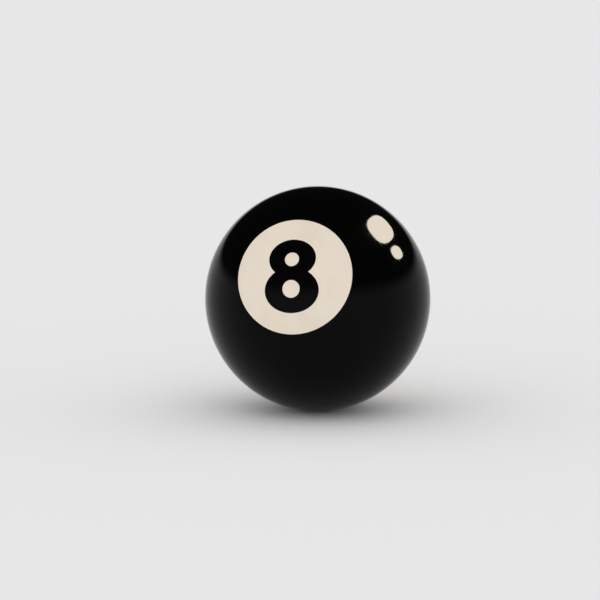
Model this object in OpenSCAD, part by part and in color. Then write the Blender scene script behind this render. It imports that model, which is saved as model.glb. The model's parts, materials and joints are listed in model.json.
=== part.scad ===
// Numbered pool ball: one cast ball with a pale disc set in each side and a dark figure 8
// set in each disc. The resins are cast against each other and polished to one sphere, so
// neighbouring pieces meet face to face with no gap.
//
// Frame: origin at the centre of the ball, +Z up, millimetres. The line through both
// figures lies in the YZ plane, and the front figure faces -Y, tipped up by number_tip.

/* [Ball] */
// Diameter of the ball
ball_d = 57.15; // [47:0.05:70]

/* [Number disc] */
// Diameter of the disc where its edge meets the surface of the ball
disc_d = 28.7; // [23.9:0.1:36]
// Thickness of disc left under the figure
disc_web = 4.2; // [3:0.1:6]
// Bevel round the buried edge of the disc
disc_bevel = 0.8; // [0.2:0.1:1.2]

/* [Figure] */
// Width of the upper loop
upper_w = 11.7; // [9:0.1:15]
// Height of the upper loop
upper_h = 9.8; // [8.1:0.1:11.8]
// Width of the lower loop
lower_w = 13.5; // [11:0.1:16.5]
// Height of the lower loop
lower_h = 11.1; // [9.2:0.1:13.4]
// How far the loops run into each other at the waist
waist_overlap = 2.6; // [1.5:0.1:3.5]
// How far the middle of the figure sits below the middle of the disc
figure_drop = 0.4; // [0:0.1:1]
// Depth of the figure at its foot
figure_depth = 3.2; // [1.5:0.1:4.5]

/* [Counters] */
// Diameter of the hole in the upper loop
upper_counter_d = 3.5; // [2.5:0.1:5]
// Diameter of the hole in the lower loop
lower_counter_d = 4.3; // [3:0.1:6]
// How far the upper hole sits below the middle of its loop
upper_counter_drop = 0.3; // [-0.5:0.1:0.5]
// How far the lower hole sits below the middle of its loop
lower_counter_drop = -0.2; // [-0.5:0.1:0.5]

/* [Lie of the ball] */
// Angle of the front figure above level
number_tip = 20; // [-90:1:90]
// Turn of the figure about its own middle, anticlockwise as it is read
figure_lean = 3; // [-180:1:180]

/* [Hidden] */
$fn = 96;

ball_r = ball_d / 2;
disc_r = disc_d / 2;

// The figure is drawn about the middle of the disc, with +Y to its top.
figure_h = upper_h + lower_h - waist_overlap;
figure_top = figure_h / 2 - figure_drop;
figure_foot = figure_top - figure_h;
upper_y = figure_top - upper_h / 2;
lower_y = figure_foot + lower_h / 2;

// Heights along the number axis, from the centre of the ball.
figure_floor_z = surface_z(-figure_foot) - figure_depth;
disc_floor_z = figure_floor_z - disc_web;

// Turns that face a disc and its figure to the front or to the back.
FRONT = 0;
BACK = 180;

// Height of the ball's surface above its centre, this far from the number axis.
function surface_z(from_axis) = sqrt(pow(ball_r, 2) - pow(from_axis, 2));

// Lays a shape built along +Z, with its top to +Y, along the number axis.
module on_number_axis(facing)
    rotate([90 - number_tip, 0, 0])
        rotate([0, 0, figure_lean])
            rotate([0, facing, 0])
                children();

module oval(w, h)
    scale([w / h, 1])
        circle(d = h);

module loops_outline() {
    translate([0, upper_y]) oval(upper_w, upper_h);
    translate([0, lower_y]) oval(lower_w, lower_h);
}

module counters_outline() {
    translate([0, upper_y - upper_counter_drop]) circle(d = upper_counter_d);
    translate([0, lower_y - lower_counter_drop]) circle(d = lower_counter_d);
}

module figure_outline()
    difference() {
        loops_outline();
        counters_outline();
    }

// The figure as a prism that runs out past the surface of the ball.
module figure_prism()
    translate([0, 0, figure_floor_z])
        linear_extrude(height = ball_r)
            figure_outline();

// The disc as a slug that runs out past the surface of the ball.
module disc_slug()
    rotate_extrude()
        polygon([
            [0, disc_floor_z],
            [disc_r - disc_bevel, disc_floor_z],
            [disc_r, disc_floor_z + disc_bevel],
            [disc_r, disc_floor_z + ball_r],
            [0, disc_floor_z + ball_r],
        ]);

module whole_ball() sphere(r = ball_r);

// Black resin, cast round the two finished discs.
module ball_body()
    color("#0a0a0a")
        on_number_axis(FRONT)
            difference() {
                whole_ball();
                disc_slug();
                rotate([0, BACK, 0]) disc_slug();
            }

// Pale resin, cast with a pocket for the figure. A post stands in the pocket for each
// counter, so the disc is one piece.
module number_disc(facing)
    color("#e3d7c7")
        difference() {
            intersection() {
                whole_ball();
                on_number_axis(facing) disc_slug();
            }
            on_number_axis(facing) figure_prism();
        }

// Black resin, poured into the pocket round the posts.
module number_figure(facing)
    color("#111111")
        intersection() {
            whole_ball();
            on_number_axis(facing) figure_prism();
        }

ball_body();
number_disc(FRONT);  // front_disc
number_figure(FRONT);  // front_figure
number_disc(BACK);  // back_disc
number_figure(BACK);  // back_figure
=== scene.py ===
"""A numbered pool ball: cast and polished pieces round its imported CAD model, on a pale studio floor.

The ball's centre is the origin and +Z is up. A disc and its figure are drawn in the frame of their
own side: +Z runs out along the number axis and +Y to the top of the figure. All lengths are in metres.
"""

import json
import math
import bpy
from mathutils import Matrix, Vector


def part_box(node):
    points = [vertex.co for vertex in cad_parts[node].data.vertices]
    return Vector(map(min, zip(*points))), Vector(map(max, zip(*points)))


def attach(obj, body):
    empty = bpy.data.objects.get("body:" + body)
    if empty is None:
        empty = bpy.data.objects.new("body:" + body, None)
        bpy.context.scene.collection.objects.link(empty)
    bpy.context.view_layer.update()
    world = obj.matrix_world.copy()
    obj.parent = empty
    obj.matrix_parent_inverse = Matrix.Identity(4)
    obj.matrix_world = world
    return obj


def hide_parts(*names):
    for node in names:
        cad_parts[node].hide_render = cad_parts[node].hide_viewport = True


bl_info = {
    "name": "Numbered Pool Ball",
    "version": (1, 0, 0),
    "blender": (4, 5, 0),
    "location": "3D View > Sidebar > Pool Ball",
    "description": "Builds a numbered pool ball from its cast pieces, with polished resin finishes",
    "category": "Add Mesh",
}

import bmesh
import bpy
from bpy.props import FloatProperty, FloatVectorProperty, PointerProperty
from mathutils import Matrix, Vector

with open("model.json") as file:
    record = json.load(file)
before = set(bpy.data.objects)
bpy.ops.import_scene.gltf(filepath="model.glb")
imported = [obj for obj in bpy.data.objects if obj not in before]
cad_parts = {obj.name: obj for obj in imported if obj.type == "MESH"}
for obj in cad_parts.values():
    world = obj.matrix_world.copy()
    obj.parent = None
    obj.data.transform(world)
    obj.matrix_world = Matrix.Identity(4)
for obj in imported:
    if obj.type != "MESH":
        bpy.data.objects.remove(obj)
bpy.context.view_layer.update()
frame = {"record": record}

# Height of the point at which the ball touches whatever it lies on.
CONTACT = frame["record"]["mounts"][0]["pos_m"][2]

BODY = "root"
MM = 0.001

# Turns that face a disc and its figure to the front or to the back.
SIDES = {"front": 0.0, "back": math.pi}

# How finely the meshes are cut.
ARC_STEPS = 96
WAIST_STEPS = 24
BALL_RINGS = 56
FACE_RINGS = 12
FIGURE_RINGS = 10
POST_RINGS = 5
BACK_RINGS = 5
SOFTBOX_SPOKES = 64
SOFTBOX_RINGS = 10

# Points this close together are welded, and a point this close to the ball's surface lies on it.
WELD = 0.001 * MM
# How far the ends of a piece may lie from those of the CAD node that it stands for.
BOX_SLACK = 0.1 * MM

# Patches of cloudy noise: how wide and how ragged they are, and the noise at which one starts and is full.
HAZE = {"width": 9 * MM, "detail": 4.0, "start": 0.42, "full": 0.68}
CLOUDS = {"width": 7 * MM, "detail": 3.0, "start": 0.40, "full": 0.75}
SPECKS = {"width": 0.5 * MM, "detail": 2.0, "start": 0.5, "full": 0.8}

# How far the clouds and the specks take the ivory towards its shade.
CLOUD_DEPTH = 0.50
SPECK_DEPTH = 0.22

# Runs of hairlines: turns about X, Y and Z in radians, and how long and how fine the lines are.
HAIRLINES = (
    {"turn": (0.3, 0.9, 0.2), "long": 14 * MM, "fine": 0.22 * MM},
    {"turn": (1.2, 0.1, 2.1), "long": 11 * MM, "fine": 0.18 * MM},
    {"turn": (2.0, 2.4, 0.7), "long": 17 * MM, "fine": 0.25 * MM},
)
# Where the noise is a hairline, once it is stretched along the run.
HAIRLINE = {"width": 1.0, "detail": 1.0, "start": 0.70, "full": 0.74}
HAIRLINE_ROUGHNESS = 0.05
HAIRLINE_DEPTH = 0.01 * MM
HAIRLINE_STRENGTH = 0.05

# Focal length of the camera and width of its sensor, in millimetres.
LENS = 150
SENSOR = 36

# Distance from the middle of the floor to each of its edges.
FLOOR_REACH = 8.0

# Heights on the room's walls, as the sine of the angle above level: they are pale up to the first and
# dark from the second. The third raises the second on the camera's side and lowers it on the far side.
WALL_PALE_TO = 0.10
WALL_DARK_FROM = 0.30
WALL_DARK_SWAY = 0.12

# Broad distant lamps: where they hang and how wide they spread, in degrees.
KEY_LAMP = {"azimuth": 0, "elevation": 40, "spread": 80}
SKY_LAMP = {"azimuth": 0, "elevation": 90, "spread": 180}

# Softboxes as the ball mirrors them: middle and half sizes in radii of its outline, turn in degrees, and
# squareness, which is 2 for an ellipse and more for fuller corners.
SOFTBOXES = {
    "window": {"middle": (0.554, 0.615), "half_size": (0.135, 0.0875), "turn": -50, "squareness": 2.5},
    "side_window": {"middle": (0.70, 0.41), "half_size": (0.0635, 0.043), "turn": -59, "squareness": 2.3},
}
# Distance of the softboxes from the ball's centre.
SOFTBOX_REACH = 1.0


# ---------------------------------------------------------------- sizes, finishes and stage


def length(name, default, description):
    return FloatProperty(name=name, description=description, default=default, unit="LENGTH", precision=5)


def angle(name, degrees, description):
    return FloatProperty(
        name=name, description=description, default=math.radians(degrees), subtype="ANGLE", unit="ROTATION"
    )


def colour(name, default, description):
    return FloatVectorProperty(
        name=name, description=description, default=default, subtype="COLOR", size=3, min=0.0, max=1.0
    )


def number(name, default, description):
    return FloatProperty(name=name, description=description, default=default, min=0.0)


def width_of(node):
    """Width of a CAD node along X, to a hundredth of a millimetre."""
    low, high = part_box(node)
    return round(high.x - low.x, 5)


class BallSizes(bpy.types.PropertyGroup):
    """The driving dimensions of the ball."""

    ball: length("Ball", -2 * CONTACT, "Diameter of the ball")
    disc: length("Disc", width_of("front_disc"), "Diameter of a number disc where its edge meets the surface")
    disc_web: length("Disc web", 4.2 * MM, "Thickness of disc left under the figure")
    disc_bevel: length("Disc bevel", 0.8 * MM, "Bevel round the buried edge of a disc")
    upper_width: length("Upper loop width", 11.7 * MM, "Width of the figure's upper loop")
    upper_height: length("Upper loop height", 9.8 * MM, "Height of the figure's upper loop")
    lower_width: length("Lower loop width", 13.5 * MM, "Width of the figure's lower loop")
    lower_height: length("Lower loop height", 11.1 * MM, "Height of the figure's lower loop")
    waist_overlap: length("Waist overlap", 2.6 * MM, "How far the loops run into each other")
    figure_drop: length("Figure drop", 0.4 * MM, "How far the figure's middle sits below the disc's")
    figure_depth: length("Figure depth", 3.2 * MM, "Depth of the figure at its foot")
    upper_counter: length("Upper counter", 3.5 * MM, "Diameter of the hole in the upper loop")
    lower_counter: length("Lower counter", 4.3 * MM, "Diameter of the hole in the lower loop")
    upper_counter_drop: length("Upper counter drop", 0.3 * MM, "How far the upper hole sits below mid loop")
    lower_counter_drop: length("Lower counter drop", -0.2 * MM, "How far the lower hole sits below mid loop")
    number_tip: angle("Number tip", 20, "Angle of the front figure above level")
    figure_lean: angle("Figure lean", 3, "Turn of the figure about its own middle, anticlockwise")


class BallFinish(bpy.types.PropertyGroup):
    """Colours and polish of the resins."""

    black: colour("Black resin", (0.0012, 0.0012, 0.0011), "Colour of the ball's body")
    ivory: colour("Ivory resin", (0.774, 0.687, 0.581), "Colour of the number discs")
    ivory_shade: colour("Ivory shade", (0.70, 0.60, 0.485), "Colour of the cloudy parts of the ivory resin")
    figure: colour("Figure resin", (0.0016, 0.0015, 0.0014), "Colour of the figures")
    gloss: number("Gloss roughness", 0.045, "Roughness of freshly polished resin")
    haze: number("Haze", 0.04, "Roughness that play and buffing add in patches")
    index: number("Refractive index", 1.15, "Refractive index of the polished surface")


class BallStage(bpy.types.PropertyGroup):
    """Camera, lamps, softboxes, floor and room."""

    azimuth: angle("Azimuth", 13.9, "Direction of the camera round the ball, from the front")
    elevation: angle("Elevation", 7.8, "Height of the camera above level")
    distance: length("Distance", 0.634, "Distance from the camera to the ball's centre")
    aim_left: length("Aim left", 4.5 * MM, "How far the camera aims to the left of the ball's centre")
    aim_down: length("Aim down", 0.35 * MM, "How far the camera aims below the ball's centre")
    floor: colour("Floor", (0.95, 0.95, 0.95), "Colour of the floor")
    horizon: colour("Horizon", (0.80, 0.80, 0.80), "Colour of the room near the floor")
    ceiling: colour("Ceiling", (0.012, 0.012, 0.012), "Colour of the room overhead")
    key_level: number("Key lamp", 0.18, "Share of a colour that the key lamp shows on a surface square to it")
    sky_level: number("Sky lamp", 0.68, "Share of a colour that the sky lamp shows on a level surface")
    glow: colour("Softbox glow", (0.767, 0.679, 0.571), "Colour of the softboxes as the ball mirrors them")


# ---------------------------------------------------------------- outlines


def arc(oval, start, end):
    """Points along an oval, given as its middle's height, half width and half height."""
    middle, half_w, half_h = oval
    turns = [start + (end - start) * i / ARC_STEPS for i in range(ARC_STEPS + 1)]
    return [Vector((half_w * math.cos(t), middle + half_h * math.sin(t), 0)) for t in turns]


def waist_notch(upper, lower):
    """The right-hand point where the two loops of the figure cross."""
    upper_y, upper_a, upper_b = upper
    lower_y, lower_a, lower_b = lower
    upper_k, lower_k = (upper_a / upper_b) ** 2, (lower_a / lower_b) ** 2
    # The loops are equally wide where square * y**2 + linear * y + constant is 0. The root is written
    # so that it also holds where square is 0.
    square = lower_k - upper_k
    linear = 2 * (upper_k * upper_y - lower_k * lower_y)
    constant = upper_a**2 - upper_k * upper_y**2 - lower_a**2 + lower_k * lower_y**2
    y = -2 * constant / (linear + math.sqrt(linear**2 - 4 * square * constant))
    return Vector((upper_a * math.sqrt(1 - ((y - upper_y) / upper_b) ** 2), y, 0))


def turn_at(oval, point):
    """The turn at which an oval passes through a point."""
    middle, half_w, half_h = oval
    return math.atan2((point.y - middle) / half_h, point.x / half_w)


def circle_facing(centre, radius, loop):
    """Points of a circle, one in the direction of each point of a loop round it."""
    return [centre + (p - centre).normalized() * radius for p in loop]


class FigureShape:
    """The figure 8: its outline, and its two lobes with their round counters, all anticlockwise."""

    def __init__(self, sizes):
        height = sizes.upper_height + sizes.lower_height - sizes.waist_overlap
        top = height / 2 - sizes.figure_drop
        upper = (top - sizes.upper_height / 2, sizes.upper_width / 2, sizes.upper_height / 2)
        lower = (top - height + sizes.lower_height / 2, sizes.lower_width / 2, sizes.lower_height / 2)
        right = waist_notch(upper, lower)
        left = Vector((-right.x, right.y, 0))
        upper_turn, lower_turn = turn_at(upper, right), turn_at(lower, right)
        upper_arc = arc(upper, upper_turn, math.pi - upper_turn)
        lower_arc = arc(lower, math.pi - lower_turn, 2 * math.pi + lower_turn)
        waist = [left.lerp(right, i / WAIST_STEPS) for i in range(1, WAIST_STEPS)]
        self.foot = height - top
        self.waist = Vector((0, right.y, 0))
        self.outline = upper_arc[:-1] + lower_arc[:-1]
        self.lobes = []
        for outer, middle, drop, counter in (
            (upper_arc + waist, upper[0], sizes.upper_counter_drop, sizes.upper_counter),
            (lower_arc + waist[::-1], lower[0], sizes.lower_counter_drop, sizes.lower_counter),
        ):
            centre = Vector((0, middle - drop, 0))
            self.lobes.append((outer, circle_facing(centre, counter / 2, outer), centre))

    def rim(self, radius):
        """Points of the disc's edge, one outward from the waist through each point of the outline."""
        points = []
        for p in self.outline:
            out = (p - self.waist).normalized()
            along = self.waist.dot(out)
            reach = math.sqrt(along**2 + radius**2 - self.waist.length_squared) - along
            points.append(self.waist + out * reach)
        return points


class BallShape:
    """Heights along the number axis, and the loops that neighbouring pieces share."""

    def __init__(self, sizes):
        self.sizes = sizes
        self.radius = sizes.ball / 2
        self.disc_radius = sizes.disc / 2
        self.figure = FigureShape(sizes)
        self.rim = self.figure.rim(self.disc_radius)
        self.figure_floor = self.height(self.figure.foot) - sizes.figure_depth
        self.disc_floor = self.figure_floor - sizes.disc_web

    def height(self, from_axis):
        """Height of the surface above the ball's centre, this far from the number axis."""
        return math.sqrt(self.radius**2 - from_axis**2)

    def skin(self, loop):
        """A flat loop lifted onto the surface of the ball."""
        return [Vector((p.x, p.y, self.height(math.hypot(p.x, p.y)))) for p in loop]

    def ring(self, radius, height):
        """A ring round the number axis, with a point outward of each point of the rim."""
        return [Vector((p.x, p.y, 0)).normalized() * radius + Vector((0, 0, height)) for p in self.rim]

    def buried_side(self):
        """Loops down a disc's wall, over its bevel and across its back, and the middle of that back."""
        bevel = self.sizes.disc_bevel
        wall = self.ring(self.disc_radius, self.disc_floor + bevel)
        back = self.ring(self.disc_radius - bevel, self.disc_floor)
        middle = Vector((0, 0, self.disc_floor))
        return [wall] + inward(back, middle, BACK_RINGS), middle

    def placement(self, facing):
        """Turns a shape built along +Z onto the number axis, to the front or to the back."""
        return (
            Matrix.Rotation(math.pi / 2 - self.sizes.number_tip, 4, "X")
            @ Matrix.Rotation(self.sizes.figure_lean, 4, "Z")
            @ Matrix.Rotation(facing, 4, "Y")
        )


def level(loop, height):
    """A flat loop at this height."""
    return [Vector((p.x, p.y, height)) for p in loop]


def between(start, end, steps):
    """Loops from one loop to another, both included."""
    return [[a.lerp(b, i / steps) for a, b in zip(start, end)] for i in range(steps + 1)]


def inward(loop, middle, steps):
    """Loops from one loop in towards a point, which is left out."""
    return between(loop, [middle] * len(loop), steps)[:-1]


# ---------------------------------------------------------------- meshes


def add_object(name, data):
    """Adds an object to the scene."""
    added = bpy.data.objects.new(name, data)
    bpy.context.scene.collection.objects.link(added)
    return added


class Casting:
    """A closed mesh, built from bands of faces between loops of points."""

    def __init__(self):
        self.bm = bmesh.new()

    def band(self, loops):
        """Faces between each loop and the next."""
        rows = [[self.bm.verts.new(p) for p in loop] for loop in loops]
        for near, far in zip(rows, rows[1:]):
            for i, corner in enumerate(near):
                self.bm.faces.new((near[i - 1], corner, far[i], far[i - 1]))

    def cap(self, loops, centre):
        """Faces between each loop and the next, and from the last one to a point."""
        self.band(loops)
        last = [self.bm.verts.new(p) for p in loops[-1]]
        tip = self.bm.verts.new(centre)
        for i, corner in enumerate(last):
            self.bm.faces.new((last[i - 1], corner, tip))

    def finish(self, name, shape, facing, material):
        """Welds, checks and turns the mesh, sets the normals of its corners, and adds the piece."""
        bmesh.ops.remove_doubles(self.bm, verts=self.bm.verts, dist=WELD)
        bmesh.ops.recalc_face_normals(self.bm, faces=self.bm.faces)
        if not all(edge.is_manifold for edge in self.bm.edges):
            raise RuntimeError(f"{name} isn't a closed mesh")
        self.bm.transform(shape.placement(facing))
        mesh = bpy.data.meshes.new(name)
        self.bm.to_mesh(mesh)
        self.bm.free()
        mesh.shade_smooth()
        mesh.normals_split_custom_set(corner_normals(mesh, shape.radius))
        mesh.materials.append(material)
        return add_object(name, mesh)


def corner_normals(mesh, radius):
    """A normal for each corner: out from the ball's centre on its surface, square to the face elsewhere."""
    normals = []
    for face in mesh.polygons:
        corners = [mesh.vertices[i].co for i in face.vertices]
        outside = all(abs(co.length - radius) < WELD for co in corners)
        normals += [co.normalized() if outside else face.normal.copy() for co in corners]
    return normals


def fit_piece(piece, node):
    """Puts a piece in place of its CAD node, once the two are found to fill the same box."""
    low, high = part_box(node)
    points = [vertex.co for vertex in piece.data.vertices]
    for axis in range(3):
        ends = min(p[axis] for p in points), max(p[axis] for p in points)
        if abs(ends[0] - low[axis]) > BOX_SLACK or abs(ends[1] - high[axis]) > BOX_SLACK:
            raise RuntimeError(f"{piece.name} doesn't fill the place of {node} along axis {axis}: {ends}")
    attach(piece, BODY)
    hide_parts(node)


def cast_body(shape):
    """The ball, with a pocket at each end of the number axis."""
    casting = Casting()
    edge = math.asin(shape.disc_radius / shape.radius)
    rings = []
    for i in range(BALL_RINGS + 1):
        polar = edge + (math.pi - 2 * edge) * i / BALL_RINGS
        rings.append(shape.ring(shape.radius * math.sin(polar), shape.radius * math.cos(polar)))
    casting.band(rings)
    buried, middle = shape.buried_side()
    for side in (1, -1):
        pocket = [[Vector((p.x, p.y, side * p.z)) for p in loop] for loop in [rings[0]] + buried]
        casting.cap(pocket, side * middle)
    return casting


def cast_disc(shape):
    """A number disc, with a pocket for the figure and a post in it for each counter."""
    casting = Casting()
    figure = shape.figure
    casting.band([shape.skin(loop) for loop in between(figure.outline, shape.rim, FACE_RINGS)])
    casting.band([shape.skin(figure.outline), level(figure.outline, shape.figure_floor)])
    for outer, counter, centre in figure.lobes:
        casting.band([level(loop, shape.figure_floor) for loop in between(outer, counter, FIGURE_RINGS)])
        casting.band([level(counter, shape.figure_floor), shape.skin(counter)])
        top = [shape.skin(loop) for loop in inward(counter, centre, POST_RINGS)]
        casting.cap(top, shape.skin([centre])[0])
    buried, middle = shape.buried_side()
    casting.cap([shape.skin(shape.rim)] + buried, middle)
    return casting


def cast_figure(shape):
    """A figure 8, domed on its face and flat on its back, with a round counter through each loop."""
    casting = Casting()
    figure = shape.figure
    casting.band([shape.skin(figure.outline), level(figure.outline, shape.figure_floor)])
    for outer, counter, _ in figure.lobes:
        loops = between(outer, counter, FIGURE_RINGS)
        casting.band([shape.skin(loop) for loop in loops])
        casting.band([level(loop, shape.figure_floor) for loop in loops])
        casting.band([shape.skin(counter), level(counter, shape.figure_floor)])
    return casting


# ---------------------------------------------------------------- finishes


class Wire:
    """A node's output. A sum on it is written as a Python expression, and adds its Math nodes."""

    def __init__(self, nodes, socket):
        self.nodes = nodes
        self.socket = socket

    def __add__(self, other):
        return self.nodes.maths("ADD", self, other)

    def __radd__(self, other):
        return self.nodes.maths("ADD", other, self)

    def __sub__(self, other):
        return self.nodes.maths("SUBTRACT", self, other)

    def __rsub__(self, other):
        return self.nodes.maths("SUBTRACT", other, self)

    def __mul__(self, other):
        return self.nodes.maths("MULTIPLY", self, other)

    def __rmul__(self, other):
        return self.nodes.maths("MULTIPLY", other, self)


class Nodes:
    """The nodes of one material or world."""

    # Sockets that a Mix node uses when it mixes colours.
    MIX_FACTOR, MIX_FIRST, MIX_SECOND, MIX_RESULT = 0, 6, 7, 2

    def __init__(self, owner):
        owner.use_nodes = True
        self.tree = owner.node_tree
        self.tree.nodes.clear()

    def add(self, kind, settings, inputs, output=0):
        """A node, with its settings made first, then a value or a wire for each input. Gives one output."""
        node = self.tree.nodes.new(kind)
        for name, value in settings.items():
            setattr(node, name, value)
        for name, value in inputs.items():
            if isinstance(value, Wire):
                self.tree.links.new(value.socket, node.inputs[name])
            else:
                node.inputs[name].default_value = value
        return Wire(self, node.outputs[output]) if node.outputs else None

    def maths(self, operation, first, second):
        return self.add("ShaderNodeMath", {"operation": operation}, {0: first, 1: second})

    def vector(self, operation, first, second, output="Vector"):
        return self.add("ShaderNodeVectorMath", {"operation": operation}, {0: first, 1: second}, output)

    def mix(self, factor, first, second):
        """A colour between two."""
        colours = {self.MIX_FACTOR: factor, self.MIX_FIRST: first, self.MIX_SECOND: second}
        return self.add("ShaderNodeMix", {"data_type": "RGBA"}, colours, self.MIX_RESULT)

    def ramp(self, value, start, end):
        """0 at start and 1 at end, with a soft rise between."""
        settings = {"interpolation_type": "SMOOTHSTEP"}
        return self.add("ShaderNodeMapRange", settings, {"Value": value, "From Min": start, "From Max": end})

    def place(self):
        """Where a point lies in the ball's own frame, in metres."""
        return self.add("ShaderNodeTexCoord", {}, {}, "Object")

    def patches(self, place, width, detail, start, full):
        """Patches of cloudy noise about this wide: 1 in a patch, 0 off it."""
        noise = self.add("ShaderNodeTexNoise", {}, {"Vector": place, "Scale": 1 / width, "Detail": detail})
        return self.ramp(noise, start, full)


def opaque(rgb):
    return (*rgb, 1.0)


def new_material(name, shade):
    """A material with the shader that shade makes from its nodes."""
    material = bpy.data.materials.new(name)
    nodes = Nodes(material)
    nodes.add("ShaderNodeOutputMaterial", {}, {"Surface": shade(nodes)})
    return material


def hairlines(nodes, place, turn, long, fine):
    """Fine straight scratches that run one way: 1 on a scratch, 0 off it."""
    settings = {"rotation_type": "EULER_XYZ"}
    turned = nodes.add("ShaderNodeVectorRotate", settings, {"Vector": place, "Rotation": turn})
    stretched = nodes.vector("MULTIPLY", turned, (1 / long, 1 / fine, 1 / fine))
    return nodes.patches(stretched, **HAIRLINE)


def polish(nodes, place, finish):
    """Roughness and normal of the polished surface, which runs unbroken over all the resins."""
    haze = nodes.patches(place, **HAZE)
    scratches = sum(hairlines(nodes, place, **run) for run in HAIRLINES)
    roughness = finish.gloss + finish.haze * haze + HAIRLINE_ROUGHNESS * scratches
    relief = {"Strength": HAIRLINE_STRENGTH, "Distance": HAIRLINE_DEPTH, "Height": 1 - scratches}
    return roughness, nodes.add("ShaderNodeBump", {}, relief)


def resin(name, finish, base_colour):
    """A polished resin. base_colour takes the nodes and the place, and gives a colour or a wire."""

    def shade(nodes):
        place = nodes.place()
        roughness, normal = polish(nodes, place, finish)
        return nodes.add(
            "ShaderNodeBsdfPrincipled",
            {},
            {
                "Base Color": base_colour(nodes, place),
                "Roughness": roughness,
                "IOR": finish.index,
                "Normal": normal,
            },
        )

    return new_material(name, shade)


def black_resin(finish):
    return resin("black_resin", finish, lambda nodes, place: opaque(finish.black))


def figure_resin(finish):
    return resin("figure_resin", finish, lambda nodes, place: opaque(finish.figure))


def ivory_resin(finish):
    """Warm ivory with faint clouds and specks from the casting."""

    def base_colour(nodes, place):
        clouds = nodes.patches(place, **CLOUDS)
        specks = nodes.patches(place, **SPECKS)
        depth = CLOUD_DEPTH * clouds + SPECK_DEPTH * specks
        return nodes.mix(depth, opaque(finish.ivory), opaque(finish.ivory_shade))

    return resin("ivory_resin", finish, base_colour)


# ---------------------------------------------------------------- stage


def way_to(azimuth, elevation):
    """The way out from the ball at this azimuth, from the front, and this elevation above level."""
    out = math.cos(elevation)
    return Vector((math.sin(azimuth) * out, -math.cos(azimuth) * out, math.sin(elevation)))


class CameraPlace:
    """Where the camera stands, and which ways are right, up and back from the ball towards it."""

    def __init__(self, stage):
        self.right = Vector((math.cos(stage.azimuth), math.sin(stage.azimuth), 0))
        self.back = way_to(stage.azimuth, stage.elevation)
        self.up = self.back.cross(self.right)
        self.location = self.back * stage.distance


def set_camera(stage):
    """Adds the camera, aimed beside the ball's centre, and gives its place."""
    place = CameraPlace(stage)
    data = bpy.data.cameras.new("camera")
    data.lens = LENS
    data.sensor_width = SENSOR
    camera = add_object("camera", data)
    aim = -place.right * stage.aim_left - place.up * stage.aim_down
    camera.location = place.location
    camera.rotation_euler = (place.location - aim).to_track_quat("Z", "Y").to_euler()
    bpy.context.scene.camera = camera
    return place


def reflectance(cosine, index):
    """Share of light that a clear polished surface mirrors at this cosine of incidence."""
    inside = math.sqrt(1 - (1 - cosine**2) / index**2)
    across = (cosine - index * inside) / (cosine + index * inside)
    along = (index * cosine - inside) / (index * cosine + inside)
    return (across**2 + along**2) / 2


class Mirror:
    """What the ball mirrors to the camera."""

    def __init__(self, camera, radius, index):
        self.camera = camera
        self.radius = radius
        self.index = index
        # Tangent of the angle at the camera between the ball's centre and its outline.
        self.outline = math.tan(math.asin(radius / camera.location.length))

    def trace(self, right, up):
        """From a point of the ball's face, in radii of its outline, to the point mirrored there.

        The mirrored point lies at the softboxes' reach. Also gives the share of light mirrored there."""
        camera = self.camera
        ray = (camera.right * right + camera.up * up) * self.outline - camera.back
        ray.normalize()
        middle = -camera.location.dot(ray)
        depth = middle - math.sqrt(middle**2 - camera.location.length_squared + self.radius**2)
        point = camera.location + ray * depth
        normal = point.normalized()
        bounced = ray.reflect(normal)
        along = point.dot(bounced)
        travel = math.sqrt(along**2 + SOFTBOX_REACH**2 - self.radius**2) - along
        return point + bounced * travel, reflectance(-ray.dot(normal), self.index)


def softbox_glow(stage):
    """Light that comes back from the ball at an even level, however steeply the surface mirrors it."""

    def shade(nodes):
        glow = nodes.add("ShaderNodeAttribute", {"attribute_name": "glow"}, {}, "Fac")
        return nodes.add("ShaderNodeEmission", {}, {"Color": nodes.vector("MULTIPLY", stage.glow, glow)})

    return new_material("softbox_glow", shade)


def hang_softbox(name, mirror, material, middle, half_size, turn, squareness):
    """A glowing panel shaped so that the ball mirrors it as an even oval."""
    cosine, sine = math.cos(math.radians(turn)), math.sin(math.radians(turn))
    bm = bmesh.new()
    glow = bm.verts.layers.float.new("glow")

    def vertex(out, spoke):
        """A vertex this share of the way from the middle to the end of a spoke."""
        t = 2 * math.pi * spoke / SOFTBOX_SPOKES
        u, v = math.cos(t), math.sin(t)
        x = math.copysign(abs(u) ** (2 / squareness), u) * half_size[0] * out
        y = math.copysign(abs(v) ** (2 / squareness), v) * half_size[1] * out
        spot, mirrored = mirror.trace(middle[0] + x * cosine - y * sine, middle[1] + x * sine + y * cosine)
        corner = bm.verts.new(spot)
        corner[glow] = 1 / mirrored
        return corner

    centre = vertex(0, 0)
    rows = []
    for ring in range(1, SOFTBOX_RINGS + 1):
        rows.append([vertex(ring / SOFTBOX_RINGS, spoke) for spoke in range(SOFTBOX_SPOKES)])
    for i in range(SOFTBOX_SPOKES):
        bm.faces.new((centre, rows[0][i - 1], rows[0][i]))
        for near, far in zip(rows, rows[1:]):
            bm.faces.new((near[i - 1], far[i - 1], far[i], near[i]))
    mesh = bpy.data.meshes.new(name)
    bm.to_mesh(mesh)
    bm.free()
    mesh.materials.append(material)
    panel = add_object(name, mesh)
    panel.visible_camera = False
    panel.visible_diffuse = False
    panel.visible_shadow = False


def hang_lamp(name, share_shown, azimuth, elevation, spread):
    """A broad distant lamp. share_shown is the share of a colour that it shows on a surface square to it."""
    lamp = bpy.data.lights.new(name, "SUN")
    lamp.energy = math.pi * share_shown
    lamp.angle = math.radians(spread)
    hung = add_object(name, lamp)
    source = way_to(math.radians(azimuth), math.radians(elevation))
    hung.rotation_euler = source.to_track_quat("Z", "Y").to_euler()
    hung.visible_glossy = False


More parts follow.
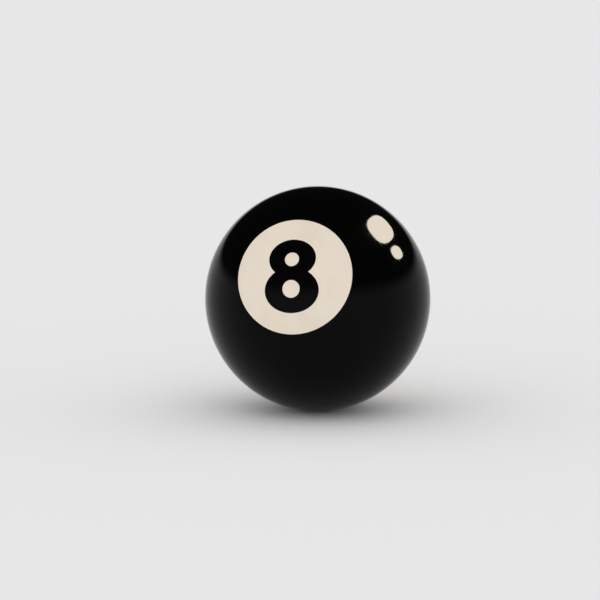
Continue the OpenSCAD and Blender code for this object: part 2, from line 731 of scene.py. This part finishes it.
def lay_floor(stage, height):
    """A wide level floor under the ball."""
    mesh = bpy.data.meshes.new("floor")
    signs = ((-1, -1), (1, -1), (1, 1), (-1, 1))
    corners = [(x * FLOOR_REACH, y * FLOOR_REACH, height) for x, y in signs]
    mesh.from_pydata(corners, [], [range(len(corners))])
    paper = {"Color": opaque(stage.floor)}
    mesh.materials.append(new_material("floor", lambda nodes: nodes.add("ShaderNodeBsdfDiffuse", {}, paper)))
    add_object("floor", mesh)


def paint_room(stage, front):
    """A room with walls that are pale near the floor and dark overhead. front points to the camera's side."""
    world = bpy.data.worlds.new("room")
    nodes = Nodes(world)
    direction = nodes.add("ShaderNodeTexCoord", {}, {}, "Generated")
    rise = nodes.add("ShaderNodeSeparateXYZ", {}, {"Vector": direction}, "Z")
    toward = nodes.vector("DOT_PRODUCT", direction, front, "Value")
    dark = nodes.ramp(rise, WALL_PALE_TO, WALL_DARK_FROM + WALL_DARK_SWAY * toward)
    light = nodes.add(
        "ShaderNodeBackground", {}, {"Color": nodes.mix(dark, opaque(stage.horizon), opaque(stage.ceiling))}
    )
    nodes.add("ShaderNodeOutputWorld", {}, {"Surface": light})
    bpy.context.scene.world = world


# ---------------------------------------------------------------- operators


class POOLBALL_OT_stage(bpy.types.Operator):
    """Sets the camera, the lamps, the softboxes, the floor and the room"""

    bl_idname = "pool_ball.stage"
    bl_label = "Set the Stage"

    def execute(self, context):
        scene = context.scene
        scene.view_settings.view_transform = "Standard"
        stage = scene.pool_ball_stage
        camera = set_camera(stage)
        mirror = Mirror(camera, scene.pool_ball_sizes.ball / 2, scene.pool_ball_finish.index)
        glow = softbox_glow(stage)
        for name, shape in SOFTBOXES.items():
            hang_softbox(name, mirror, glow, **shape)
        lay_floor(stage, CONTACT)
        paint_room(stage, camera.back)
        hang_lamp("key_lamp", stage.key_level, **KEY_LAMP)
        hang_lamp("sky_lamp", stage.sky_level, **SKY_LAMP)
        return {"FINISHED"}


class POOLBALL_OT_body(bpy.types.Operator):
    """Casts the black body of the ball, with a pocket for each disc"""

    bl_idname = "pool_ball.body"
    bl_label = "Cast the Body"

    def execute(self, context):
        scene = context.scene
        shape = BallShape(scene.pool_ball_sizes)
        material = black_resin(scene.pool_ball_finish)
        piece = cast_body(shape).finish("polished_body", shape, SIDES["front"], material)
        fit_piece(piece, "ball_body")
        return {"FINISHED"}


class POOLBALL_OT_discs(bpy.types.Operator):
    """Casts the two ivory discs, each with a pocket for its figure"""

    bl_idname = "pool_ball.discs"
    bl_label = "Cast the Discs"

    def execute(self, context):
        scene = context.scene
        shape = BallShape(scene.pool_ball_sizes)
        material = ivory_resin(scene.pool_ball_finish)
        for side, facing in SIDES.items():
            piece = cast_disc(shape).finish(f"polished_{side}_disc", shape, facing, material)
            fit_piece(piece, f"{side}_disc")
        return {"FINISHED"}


class POOLBALL_OT_figures(bpy.types.Operator):
    """Casts the two figures"""

    bl_idname = "pool_ball.figures"
    bl_label = "Cast the Figures"

    def execute(self, context):
        scene = context.scene
        shape = BallShape(scene.pool_ball_sizes)
        material = figure_resin(scene.pool_ball_finish)
        for side, facing in SIDES.items():
            piece = cast_figure(shape).finish(f"polished_{side}_figure", shape, facing, material)
            fit_piece(piece, f"{side}_figure")
        return {"FINISHED"}


OPERATORS = (POOLBALL_OT_stage, POOLBALL_OT_body, POOLBALL_OT_discs, POOLBALL_OT_figures)
GROUPS = {"pool_ball_sizes": BallSizes, "pool_ball_finish": BallFinish, "pool_ball_stage": BallStage}


class POOLBALL_PT_panel(bpy.types.Panel):
    """Sizes, finishes and steps of the pool ball"""

    bl_label = "Pool Ball"
    bl_idname = "POOLBALL_PT_panel"
    bl_space_type = "VIEW_3D"
    bl_region_type = "UI"
    bl_category = "Pool Ball"

    def draw(self, context):
        for group_name, group in GROUPS.items():
            box = self.layout.box()
            for name in group.__annotations__:
                box.prop(getattr(context.scene, group_name), name)
        for operator in OPERATORS:
            self.layout.operator(operator.bl_idname)


def register():
    for cls in (*GROUPS.values(), *OPERATORS, POOLBALL_PT_panel):
        bpy.utils.register_class(cls)
    for name, group in GROUPS.items():
        setattr(bpy.types.Scene, name, PointerProperty(type=group))


def unregister():
    for name in GROUPS:
        delattr(bpy.types.Scene, name)
    for cls in (POOLBALL_PT_panel, *reversed(OPERATORS), *reversed(GROUPS.values())):
        bpy.utils.unregister_class(cls)


def main():
    register()
    bpy.ops.pool_ball.stage()
    bpy.ops.pool_ball.body()
    bpy.ops.pool_ball.discs()
    bpy.ops.pool_ball.figures()


if __name__ == "__main__":
    main()
